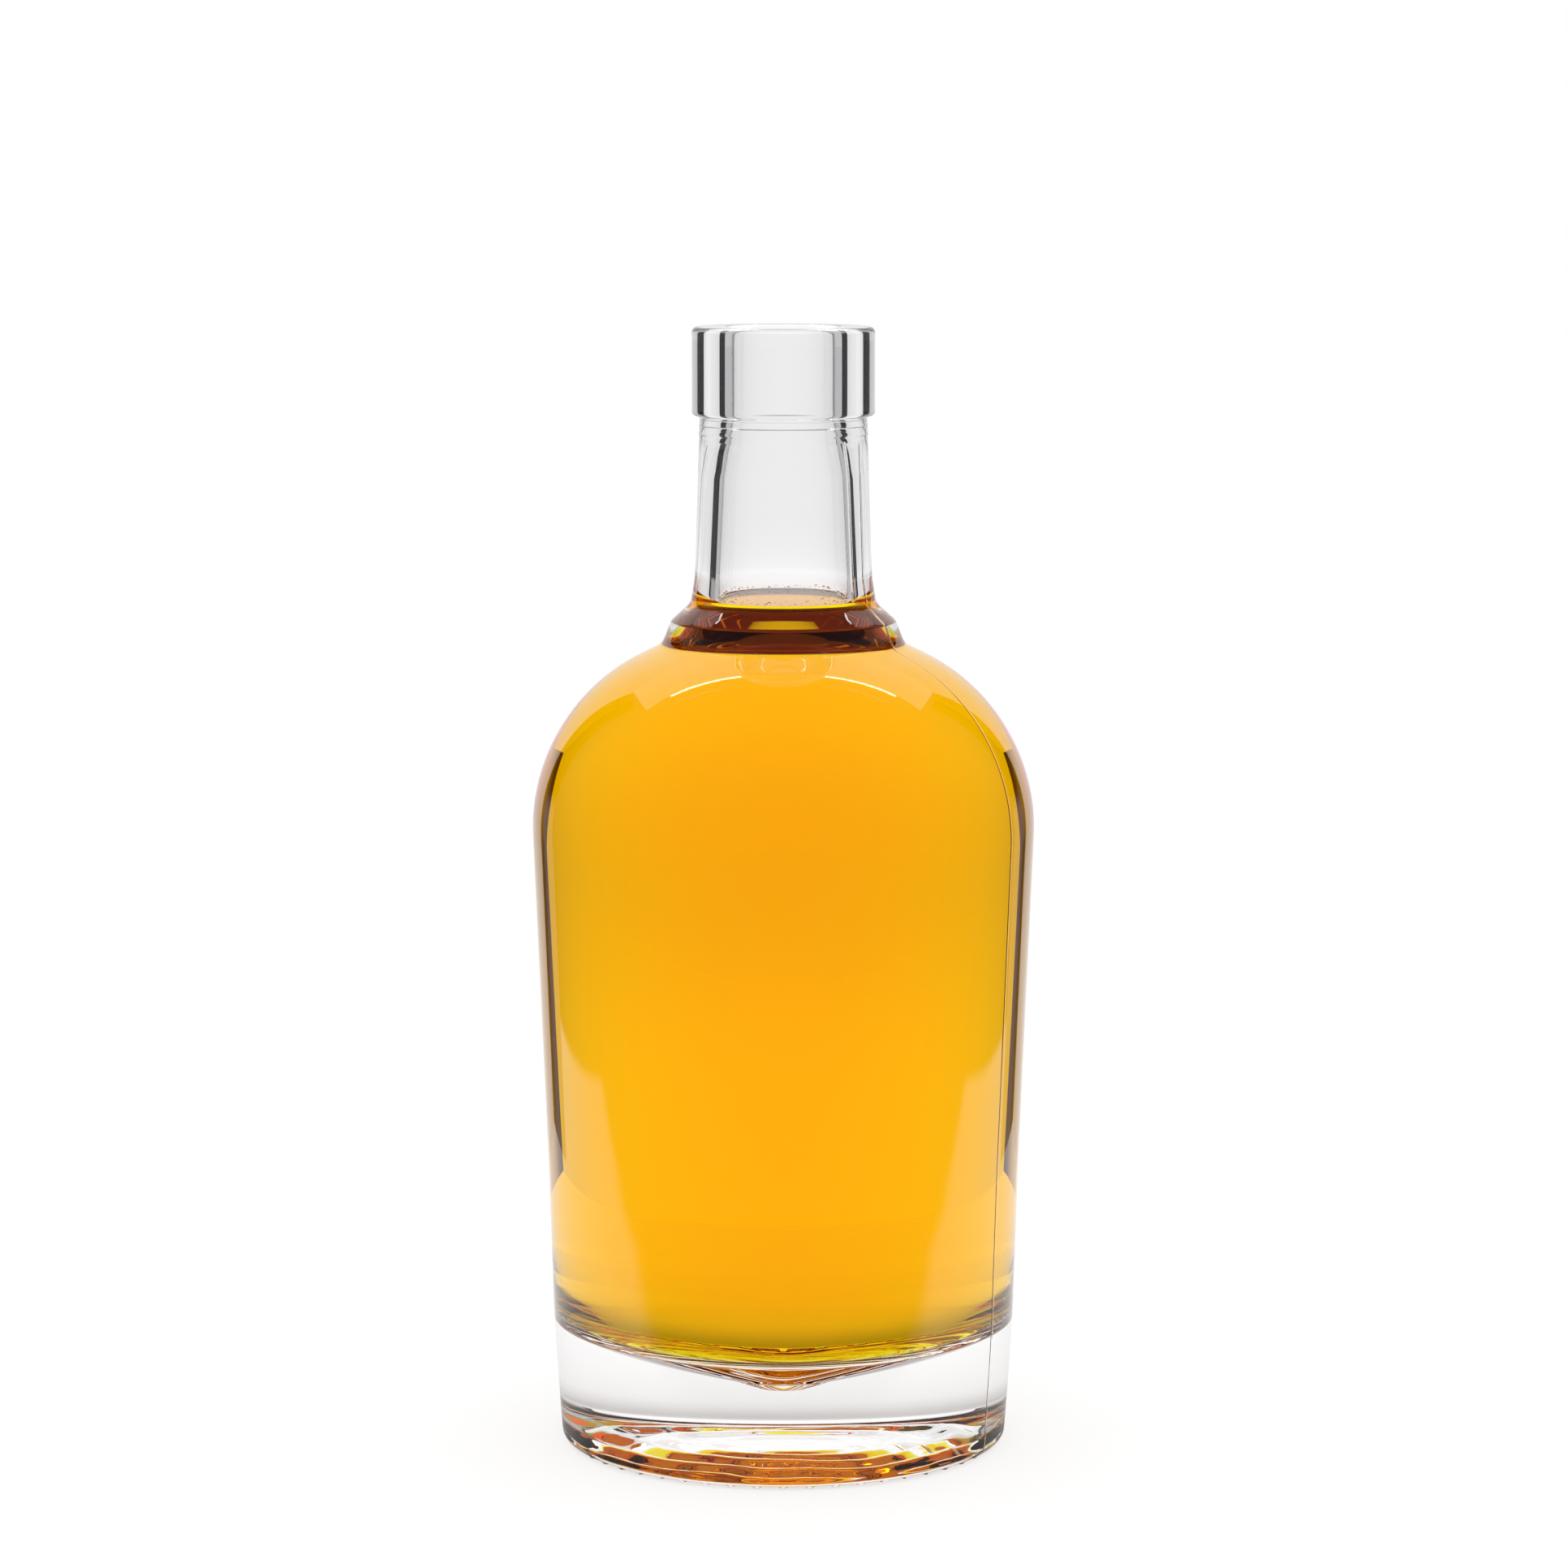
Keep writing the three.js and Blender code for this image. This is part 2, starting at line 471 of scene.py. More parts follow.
    def glass_outline(self, longest: float) -> list[Point]:
        """The whole section of the glass, with a point at the wetted edge.

        Args:
            longest: the longest step that stays whole, in millimetres.

        Returns:
            The outline from the middle of the underside, over the lip, to the middle of the floor inside.
        """
        outline = rounded_outline(self.outside() + self.inside())
        brim = self.wet_edge()
        lip = max(range(len(outline)), key=lambda index: outline[index][1])
        cut = next(index for index in range(lip, len(outline)) if outline[index][1] < brim[1])
        return divided(outline[:cut] + [brim], longest) + divided([brim] + outline[cut:], longest)[1:]


def new_piece(name: str, mesh: bpy.types.Mesh) -> bpy.types.Object:
    """Puts a mesh into the scene as an object.

    Args:
        name: name of the object.
        mesh: its mesh.

    Returns:
        The object.
    """
    piece = bpy.data.objects.new(name, mesh)
    bpy.context.scene.collection.objects.link(piece)
    return piece


def moved_in(outline: list[Point], distance: float) -> list[Point]:
    """Moves an outline sideways, off the glass.

    Args:
        outline: points that run down the inside wall to the axis.
        distance: how far each point moves, in millimetres.

    Returns:
        The moved points. The last one stays on the axis.
    """
    moved = []
    for index, point in enumerate(outline):
        along = edge(outline[max(index - 1, 0)], outline[min(index + 1, len(outline) - 1)]).normalized()
        moved.append((point[0] + along.y * distance, point[1] - along.x * distance))
    moved[-1] = (0.0, outline[-1][1] + distance)
    return moved


@dataclass
class Value:
    """A number inside a node tree, whose arithmetic becomes Math nodes."""

    tree: bpy.types.NodeTree
    socket: bpy.types.NodeSocket

    def joined(self, operation: str, *others: "Value | float") -> "Value":
        """Adds a Math node.

        Args:
            operation: the node's operation.
            others: what goes into its other inputs.

        Returns:
            The node's result.
        """
        node = self.tree.nodes.new("ShaderNodeMath")
        node.operation = operation
        for place, item in zip(node.inputs, (self, *others)):
            if isinstance(item, Value):
                self.tree.links.new(item.socket, place)
            else:
                place.default_value = item
        return Value(self.tree, node.outputs["Value"])

    def __add__(self, other: "Value | float") -> "Value":
        """This value plus another."""
        return self.joined("ADD", other)

    def __sub__(self, other: "Value | float") -> "Value":
        """This value less another."""
        return self.joined("SUBTRACT", other)

    def __mul__(self, other: "Value | float") -> "Value":
        """This value times another."""
        return self.joined("MULTIPLY", other)

    def __truediv__(self, other: "Value | float") -> "Value":
        """This value divided by another."""
        return self.joined("DIVIDE", other)

    def ramp(self, zero_at: float, one_at: float) -> "Value":
        """Adds a smooth rise from 0 to 1, which may run either way.

        Args:
            zero_at: the value at which it is 0.
            one_at: the value at which it is 1.

        Returns:
            The rise.
        """
        node = self.tree.nodes.new("ShaderNodeMapRange")
        node.interpolation_type = "SMOOTHSTEP"
        self.tree.links.new(self.socket, node.inputs["Value"])
        node.inputs["From Min"].default_value = zero_at
        node.inputs["From Max"].default_value = one_at
        return Value(self.tree, node.outputs["Result"])


@dataclass
class Place:
    """Where a point of the bottle lies, worked out from its position by nodes, in metres and radians."""

    x: Value
    y: Value
    z: Value

    @classmethod
    def split(cls, tree: bpy.types.NodeTree, position: bpy.types.NodeSocket) -> "Place":
        """Splits a position.

        Args:
            tree: the node tree.
            position: the socket that gives the position.

        Returns:
            The place.
        """
        node = tree.nodes.new("ShaderNodeSeparateXYZ")
        tree.links.new(position, node.inputs[0])
        return cls(*(Value(tree, node.outputs[axis]) for axis in "XYZ"))

    @classmethod
    def shaded(cls, tree: bpy.types.NodeTree) -> "Place":
        """The place of the point that a material shades."""
        return cls.split(tree, tree.nodes.new("ShaderNodeTexCoord").outputs["Object"])

    @property
    def radius(self) -> Value:
        """Distance from the axis."""
        return (self.x * self.x + self.y * self.y).joined("SQRT")

    @property
    def angle(self) -> Value:
        """Angle round the axis."""
        return self.y.joined("ARCTAN2", self.x)


def noise(tree: bpy.types.NodeTree, position: bpy.types.NodeSocket, scale: float, seed: float) -> Value:
    """Adds a noise.

    Args:
        tree: the node tree.
        position: the position that it follows.
        scale: how many features it has in a metre.
        seed: picks one pattern among many.

    Returns:
        The noise, between -1 and 1.
    """
    stretch = tree.nodes.new("ShaderNodeVectorMath")
    stretch.operation = "MULTIPLY"
    tree.links.new(position, stretch.inputs[0])
    stretch.inputs[1].default_value = (scale,) * 3
    texture = tree.nodes.new("ShaderNodeTexNoise")
    texture.noise_dimensions = "4D"
    tree.links.new(stretch.outputs[0], texture.inputs["Vector"])
    texture.inputs["W"].default_value = seed
    texture.inputs["Scale"].default_value = 1.0
    texture.inputs["Detail"].default_value = 2.0
    return Value(tree, texture.outputs[0]) * 2.0 - 1.0


class Growth:
    """A Geometry Nodes tree with named inputs, whose result becomes a plain mesh."""

    def __init__(self, name: str, inputs: dict[str, float], material: bpy.types.Material) -> None:
        """Starts the tree.

        Args:
            name: name of the tree.
            inputs: name and value of each of its inputs.
            material: the finish of the faces that it makes or shapes.
        """
        self.tree = bpy.data.node_groups.new(name, "GeometryNodeTree")
        self.tree.is_modifier = True
        self.inputs = inputs
        self.material = material
        interface = self.tree.interface
        interface.new_socket("Geometry", in_out="INPUT", socket_type="NodeSocketGeometry")
        for title in inputs:
            interface.new_socket(title, in_out="INPUT", socket_type="NodeSocketFloat")
        interface.new_socket("Geometry", in_out="OUTPUT", socket_type="NodeSocketGeometry")
        self.given = self.tree.nodes.new("NodeGroupInput")
        self.position = self.tree.nodes.new("GeometryNodeInputPosition").outputs[0]

    def values(self) -> list[Value]:
        """The named inputs, in their order."""
        return [Value(self.tree, self.given.outputs[title]) for title in self.inputs]

    def add(self, kind: str, inputs: dict[str, object], **settings: object) -> bpy.types.Node:
        """Adds a node.

        Args:
            kind: the node's type.
            inputs: a Value, a socket or a plain value for each of its sockets.
            settings: its own settings.

        Returns:
            The node.
        """
        node = self.tree.nodes.new(kind)
        for setting, value in settings.items():
            setattr(node, setting, value)
        for title, item in inputs.items():
            if isinstance(item, Value):
                item = item.socket
            if isinstance(item, bpy.types.NodeSocket):
                self.tree.links.new(item, node.inputs[title])
            else:
                node.inputs[title].default_value = item
        return node

    def lifted(self, rise: Value) -> bpy.types.NodeSocket:
        """Moves the piece's corners upwards.

        Args:
            rise: how far each corner moves, in metres.

        Returns:
            The moved geometry.
        """
        shift = self.add("ShaderNodeCombineXYZ", {"Z": rise})
        given = self.given.outputs["Geometry"]
        move = self.add("GeometryNodeSetPosition", {"Geometry": given, "Offset": shift.outputs[0]})
        return move.outputs["Geometry"]

    def settle(self, piece: bpy.types.Object, geometry: bpy.types.NodeSocket, selection: bool) -> None:
        """Ends the tree, runs it on a piece and keeps the result as the piece's plain mesh.

        Args:
            piece: the piece that the tree makes or changes.
            geometry: the geometry that the tree ends in.
            selection: whether only faces that already have the finish get it again.
        """
        real = self.add("GeometryNodeRealizeInstances", {"Geometry": geometry})
        given = {"Geometry": real.outputs[0], "Material": self.material}
        dress = self.add("GeometryNodeSetMaterial", given)
        if selection:
            same = self.add("GeometryNodeMaterialSelection", {"Material": self.material})
            self.tree.links.new(same.outputs["Selection"], dress.inputs["Selection"])
        self.add("NodeGroupOutput", {"Geometry": dress.outputs["Geometry"]})
        modifier = piece.modifiers.new(self.tree.name, "NODES")
        modifier.node_group = self.tree
        for item in self.tree.interface.items_tree:
            if item.in_out == "INPUT" and item.name in self.inputs:
                modifier[item.identifier] = self.inputs[item.name]
        evaluated = piece.evaluated_get(bpy.context.evaluated_depsgraph_get())
        mesh = bpy.data.meshes.new_from_object(evaluated)
        piece.modifiers.clear()
        piece.data = mesh
        mesh.polygons.foreach_set("use_smooth", [True] * len(mesh.polygons))


@dataclass(frozen=True)
class Knurls:
    """The ring of small bosses that the bottle stands on, raised from the heel by Geometry Nodes.

    Attributes:
        count: count of bosses.
        ring_radius: distance of their middles from the axis, in metres.
        length: length of a boss at its root, towards the axis.
        width: width of a boss at its root.
        foot_share: share of its length and width that is left at its foot.
        reach: height up to which the heel belongs to the ring.
    """

    count: int = 52
    ring_radius: float = 0.0367
    length: float = 0.0026
    width: float = 0.002
    foot_share: float = 0.55
    reach: float = 0.0016

    def raise_on(self, piece: bpy.types.Object) -> None:
        """Raises the bosses on the bottle's mesh.

        Args:
            piece: the bottle.
        """
        growth = Growth("knurled heel", {
            "Knurl Count": float(self.count), "Ring Radius": self.ring_radius, "Knurl Length": self.length,
            "Knurl Width": self.width, "Foot Share": self.foot_share, "Heel Reach": self.reach,
        }, piece.data.materials[0])
        count, ring, length, width, foot, reach = growth.values()
        place = Place.split(growth.tree, growth.position)
        share = place.angle / (2 * math.pi) * count
        off = share - share.joined("ROUND")
        along = off / count * (2 * math.pi) * place.radius / width * 2.0
        across = (place.radius - ring) / length * 2.0
        distance = (along * along + across * across).joined("SQRT")
        slope = (distance * -1.0 + 1.0) / (foot * -1.0 + 1.0)
        flank = slope.joined("MAXIMUM", 0.0).joined("MINIMUM", 1.0)
        low = place.z.joined("LESS_THAN", reach)
        growth.settle(piece, growth.lifted(place.z * flank * low * -1.0), selection=True)


@dataclass(frozen=True)
class Underside:
    """The ripples that the mould leaves on the underside, in wavering rings, raised by Geometry Nodes.

    Attributes:
        start: radius at which they start, in metres.
        end: radius at which they end.
        pitch: distance from one ring to the next.
        height: height of the rings, once they have grown.
        growth: distance over which the rings grow outwards to their whole height.
        fade: distance over which they end.
        scale: how many wavers a metre holds.
        rough_scale: how many of the finest bumps a metre holds.
        wave_share: how far the rings rise and fall, as a share of the height.
        rough_share: how far the finest bumps do.
        waver_share: how far the waver itself does.
        top: height below which the underside lies.
        seed: picks the pattern in which the rings waver.
    """

    start: float = 0.0
    end: float = 0.0345
    pitch: float = 0.0062
    height: float = 0.0013
    growth: float = 0.02
    fade: float = 0.0015
    scale: float = 35.0
    rough_scale: float = 350.0
    wave_share: float = 0.5
    rough_share: float = 0.1
    waver_share: float = 0.2
    top: float = 0.006
    seed: float = 3.0

    def ripple(self, piece: bpy.types.Object) -> None:
        """Ripples the underside of the bottle's mesh.

        Args:
            piece: the bottle.
        """
        growth = Growth("rippled underside", {
            "Ripple Start": self.start, "Ripple End": self.end, "Ripple Pitch": self.pitch,
            "Ripple Height": self.height, "Underside Top": self.top,
        }, piece.data.materials[0])
        start, end, pitch, height, top = growth.values()
        place = Place.split(growth.tree, growth.position)
        waver = noise(growth.tree, growth.position, self.scale, self.seed)
        rough = noise(growth.tree, growth.position, self.rough_scale, self.seed + 1.0)
        wave = ((place.radius / pitch + waver) * (2 * math.pi)).joined("SINE")
        inward = (place.radius - start) / self.growth
        outward = (end - place.radius) / self.fade
        ring = inward.joined("MINIMUM", outward).joined("MINIMUM", 1.0).joined("MAXIMUM", 0.0)
        low = place.z.joined("LESS_THAN", top)
        relief = wave * self.wave_share + rough * self.rough_share + waver * self.waver_share
        growth.settle(piece, growth.lifted(relief * height * ring * low), selection=True)


def mark_surface(mesh: bpy.types.Mesh, indices: list[float]) -> None:
    """Writes down each face's index of refraction, where the drink's material reads it."""
    values = mesh.attributes.new(SURFACE_IOR, "FLOAT", "FACE")
    values.data.foreach_set("value", indices)


@dataclass(frozen=True)
class Droplets:
    """The droplets that cling to the wall of the neck just above the drink, set out by Geometry Nodes.

    Attributes:
        count: count of droplets.
        spread: height of the band that they lie in, in metres.
        least: radius of the smallest droplet.
        greatest: radius of the largest one.
        clearance: gap between a droplet and the wall.
        jitter: how far a droplet may lie round from its even place, in radians.
        smoothness: how often the faces of a droplet are divided.
        seed: picks the pattern in which they lie.
    """

    count: int = 110
    spread: float = 0.0009
    least: float = 0.00012
    greatest: float = 0.00032
    clearance: float = 0.00003
    jitter: float = 0.08
    smoothness: int = 2
    seed: int = 7

    def build(self, section: Section, material: bpy.types.Material) -> bpy.types.Object:
        """Builds and dresses the droplets.

        Args:
            section: the bottle's section.
            material: the drink's material.

        Returns:
            The droplets' object.
        """
        low = section.bore_at(section.fill_height + section.meniscus)
        high = section.bore_at(low[1] + self.spread / MM)
        growth = Growth("clinging droplets", {
            "Droplet Count": float(self.count), "Wall Radius": low[0] * MM,
            "Wall Lean": (high[0] - low[0]) * MM, "Lowest": low[1] * MM, "Band Height": self.spread,
            "Least Size": self.least, "Greatest Size": self.greatest, "Clearance": self.clearance,
        }, material)
        count, wall, lean, lowest, band, least, greatest, clearance = growth.values()
        ring = growth.add("GeometryNodeMeshCircle", {"Vertices": count, "Radius": wall})
        climb = self.random(growth, 0)
        fatness = self.random(growth, 1)
        size = (greatest - least) * fatness * fatness * fatness + least
        angle = Place.split(growth.tree, growth.position).angle + self.random(growth, 2) * self.jitter
        radius = wall + lean * climb - size - clearance
        spot = growth.add("ShaderNodeCombineXYZ", {
            "X": angle.joined("COSINE") * radius, "Y": angle.joined("SINE") * radius,
            "Z": lowest + size + band * climb * climb,
        })
        ring_mesh = ring.outputs["Mesh"]
        points = growth.add("GeometryNodeSetPosition", {"Geometry": ring_mesh, "Position": spot.outputs[0]})
        ball = growth.add("GeometryNodeMeshIcoSphere", {"Radius": 1.0, "Subdivisions": self.smoothness})
        placed = growth.add("GeometryNodeInstanceOnPoints", {
            "Points": points.outputs["Geometry"], "Instance": ball.outputs["Mesh"], "Scale": size,
        })
        piece = new_piece("droplets", bpy.data.meshes.new("droplets"))
        growth.settle(piece, placed.outputs["Instances"], selection=False)
        mark_surface(piece.data, [DRINK_IOR] * len(piece.data.polygons))
        LOG.info("droplets: %d faces", len(piece.data.polygons))
        return piece

    def random(self, growth: Growth, turn: int) -> Value:
        """A random number between 0 and 1 for each droplet.

        Args:
            growth: the tree.
            turn: which of the droplet's random numbers it is.

        Returns:
            The number.
        """
        node = growth.add("FunctionNodeRandomValue", {"Seed": self.seed + turn}, data_type="FLOAT")
        return Value(growth.tree, node.outputs["Value"])


@dataclass(frozen=True)
class Relief:
    """The mould seams of the glass, as a node group that the outer finish uses.

    Attributes:
        seam_degrees: direction of one mould seam, round from +X. The other one lies opposite.
        seam_width: width of a seam, in metres.
        seam_top: height at which the seams end.
        seam_fade: distance over which they end.
    """

    seam_degrees: float = -27.0
    seam_width: float = 0.0009
    seam_top: float = 0.1755
    seam_fade: float = 0.001

    def group(self) -> bpy.types.NodeTree:
        """Builds the node group.

        Returns:
            The group, which puts out a height in metres.
        """
        tree = bpy.data.node_groups.new("glass relief", "ShaderNodeTree")
        tree.interface.new_socket("Position", in_out="INPUT", socket_type="NodeSocketVector")
        tree.interface.new_socket("Seam Height", in_out="INPUT", socket_type="NodeSocketFloat")
        tree.interface.new_socket("Height", in_out="OUTPUT", socket_type="NodeSocketFloat")
        given = tree.nodes.new("NodeGroupInput")
        place = Place.split(tree, given.outputs["Position"])
        turn = math.radians(self.seam_degrees)
        aside = (place.x * math.sin(turn) - place.y * math.cos(turn)).joined("ABSOLUTE")
        below = place.z.ramp(self.seam_top, self.seam_top - self.seam_fade)
        seam = aside.ramp(self.seam_width / 2, 0.0) * below
        height = seam * Value(tree, given.outputs["Seam Height"])
        result = tree.nodes.new("NodeGroupOutput")
        tree.links.new(height.socket, result.inputs["Height"])
        return tree

    def raise_in(self, material: bpy.types.Material, seam_height: float) -> None:
        """Adds the relief to a glass finish.

        Args:
            material: the finish.
            seam_height: height of the mould seams, in metres.
        """
        nodes, links = material.node_tree.nodes, material.node_tree.links
        relief = nodes.new("ShaderNodeGroup")
        relief.node_tree = self.group()
        relief.inputs["Seam Height"].default_value = seam_height
        links.new(nodes.new("ShaderNodeTexCoord").outputs["Object"], relief.inputs["Position"])
        bump = nodes.new("ShaderNodeBump")
        bump.inputs["Distance"].default_value = 1.0
        links.new(relief.outputs["Height"], bump.inputs["Height"])
        links.new(bump.outputs["Normal"], nodes["Principled BSDF"].inputs["Normal"])


def see_through(name: str, ior: float, colour: Colour) -> bpy.types.Material:
    """Makes a smooth see-through material with one Principled shader.

    Args:
        name: name of the material.
        ior: index of refraction against what lies outside the face.
        colour: tint of each crossing of the surface.

    Returns:
        The material.
    """
    material = bpy.data.materials.new(name)
    material.use_nodes = True
    shader = material.node_tree.nodes["Principled BSDF"]
    shader.inputs["Base Color"].default_value = (*colour, 1.0)
    shader.inputs["Roughness"].default_value = 0.0
    shader.inputs["Metallic"].default_value = 0.0
    shader.inputs["IOR"].default_value = ior
    shader.inputs["Transmission Weight"].default_value = 1.0
    return material


@dataclass(frozen=True)
class GlassFinish:
    """A finish of the glass.

    Attributes:
        name: name of the material.
        ior: index of refraction against what lies outside the face.
        colour: tint of each crossing of the surface.
        seam_height: height of the mould seams, in metres, or 0 where it has none.
    """

    name: str
    ior: float
    colour: Colour = WHITE
    seam_height: float = 0.0

    def material(self) -> bpy.types.Material:
        """Builds the material.

        Returns:
            The material, with the mould seams where it has them.
        """
        material = see_through(self.name, self.ior, self.colour)
        if self.seam_height > 0:
            Relief().raise_in(material, self.seam_height)
        return material


GLASS_FINISHES = {
    Face.DRY: GlassFinish("clear glass", GLASS_IOR, colour=(0.981, 0.977, 0.979), seam_height=0.00006),
    Face.WETTED: GlassFinish("wetted glass", GLASS_IOR / DRINK_IOR),
}


@dataclass(frozen=True)
class DrinkFinish:
    """The amber drink.

    Attributes:
        colour: colour that the drink lets through.
        density: strength of the colour, per metre.
    """

    colour: Colour = (0.9992, 0.9668, 0.0)
    density: float = 350.0

    def material(self) -> bpy.types.Material:
        """Builds the material, which bends light at the free surface but not where it wets the glass.

        Returns:
            The material.
        """
        material = see_through("amber drink", DRINK_IOR, WHITE)
        nodes, links = material.node_tree.nodes, material.node_tree.links
        index = nodes.new("ShaderNodeAttribute")
        index.attribute_name = SURFACE_IOR
        links.new(index.outputs["Fac"], nodes["Principled BSDF"].inputs["IOR"])
        volume = nodes.new("ShaderNodeVolumeAbsorption")
        volume.inputs["Color"].default_value = (*self.colour, 1.0)
        volume.inputs["Density"].default_value = self.density
        links.new(volume.outputs["Volume"], nodes["Material Output"].inputs["Volume"])
        return material


@dataclass
class Glass:
    """The blown glass, as one closed mesh.

    Attributes:
        section: the bottle's section.
        columns: count of upright rows of corners.
        longest_step: longest step of the section, in millimetres.
        ring_fineness: how many times as many corners the knurled ring has.
        ring_step: longest step across the knurled ring, in millimetres.
        ring_margin: how far that ring reaches past the knurls, in millimetres.
        ripple_step: longest step across the rippled underside, in millimetres.
    """

    section: Section = field(default_factory=Section)
    columns: int = 208
    longest_step: float = 2.6
    ring_fineness: int = 4
    ring_step: float = 0.28
    ring_margin: float = 0.3
    ripple_step: float = 0.45

    def outline(self) -> tuple[list[Point], dict[int, int]]:
        """The section, with short steps across the knurled ring and the rippled underside.

        Returns:
            The outline, and how many times as many corners some of its rings have.
        """
        coarse = self.section.glass_outline(self.longest_step)
        points = [coarse[0]]
        for start, end in zip(coarse, coarse[1:]):
            points += divided([start, end], self.step_at(start, end))[1:]
        finer = {number: self.ring_fineness for number, point in enumerate(points) if self.on_ring(point)}
        return points, finer

    def step_at(self, start: Point, end: Point) -> float:
        """Finds how finely the section is divided between two of its points.

        Args:
            start: the first point.
            end: the second point.

        Returns:
            The longest step that stays whole there, in millimetres.
        """
        if self.on_ring(start) and self.on_ring(end):
            return self.ring_step
        low = max(start[1], end[1]) * MM < Underside.top
        rippled = low and max(start[0], end[0]) * MM > Underside.start
        return self.ripple_step if rippled else self.longest_step

    def on_ring(self, point: Point) -> bool:
        """Finds whether a point of the section lies on the knurled ring.

        Args:
            point: the point.

        Returns:
            Whether it does.
        """
        knurls = Knurls()
        near = abs(point[0] * MM - knurls.ring_radius) < knurls.length / 2 + self.ring_margin * MM
        return near and point[1] * MM < knurls.reach

    def build(self) -> bpy.types.Object:
        """Builds and dresses the glass.

        Returns:
            The bottle's object.
        """
        outline, finer = self.outline()
        first_wet = outline.index(self.section.wet_edge())
        steps = range(len(outline) - 1)
        slots = [(Face.DRY if number < first_wet else Face.WETTED).value for number in steps]
        mesh = turned_mesh("bottle", outline, self.columns, slots, finer)
        for face in Face:
            mesh.materials.append(GLASS_FINISHES[face].material())
        piece = new_piece("bottle", mesh)
        Underside().ripple(piece)
        Knurls().raise_on(piece)
        LOG.info("bottle: %d faces", len(piece.data.polygons))
        return piece


@dataclass
class Drink:
    """The amber drink, as one closed mesh a hair's breadth clear of the glass.

    Attributes:
        section: the bottle's section.
        columns: count of upright rows of corners.
        longest_step: longest step of the section, in millimetres.
        clearance: gap between the drink and the glass, in millimetres.
        creep_length: distance from the glass over which its edge sinks to the level, in millimetres.
        surface_rings: count of rings of its free surface.
        wall_ior: index of refraction where it wets the glass, whose own face bends the light there.
    """

    section: Section = field(default_factory=Section)
    columns: int = 192
    longest_step: float = 2.5
    clearance: float = 0.02
    creep_length: float = 0.5
    surface_rings: int = 14
    wall_ior: float = 1.0

    def surface(self, brim: Point) -> list[Point]:
        """The free surface, with the edge that creeps up the glass.

        Args:
            brim: the highest point of the drink's wall.

        Returns:
            The points from there to the axis, closer together near the glass.
        """
        points = []
        for number in range(1, self.surface_rings + 1):
            share = 1 - (1 - number / self.surface_rings) ** 0.5
            radius = brim[0] * (1 - share)
            creep = math.exp((radius - brim[0]) / self.creep_length)
            points.append((radius, self.section.fill_height + self.section.meniscus * creep))
        return points

    def build(self) -> bpy.types.Object:
        """Builds and dresses the drink.

        Returns:
            The drink's object.
        """
        outline = self.section.glass_outline(self.longest_step)
        wall = outline[outline.index(self.section.wet_edge()):]
        shrunk = moved_in(wall, self.clearance)
        shrunk.reverse()
        free = self.surface(shrunk[-1])
        wall_rows = len(shrunk) - 1
        steps = wall_rows + len(free)
        mesh = turned_mesh("drink", shrunk + free, self.columns, [0] * steps)
        per_row = [self.wall_ior if row < wall_rows else DRINK_IOR for row in range(steps)]
        mark_surface(mesh, [value for value in per_row for _ in range(self.columns)])
        mesh.materials.append(DrinkFinish().material())
        piece = new_piece("drink", mesh)
        LOG.info("drink: %d faces", len(mesh.polygons))
        return piece


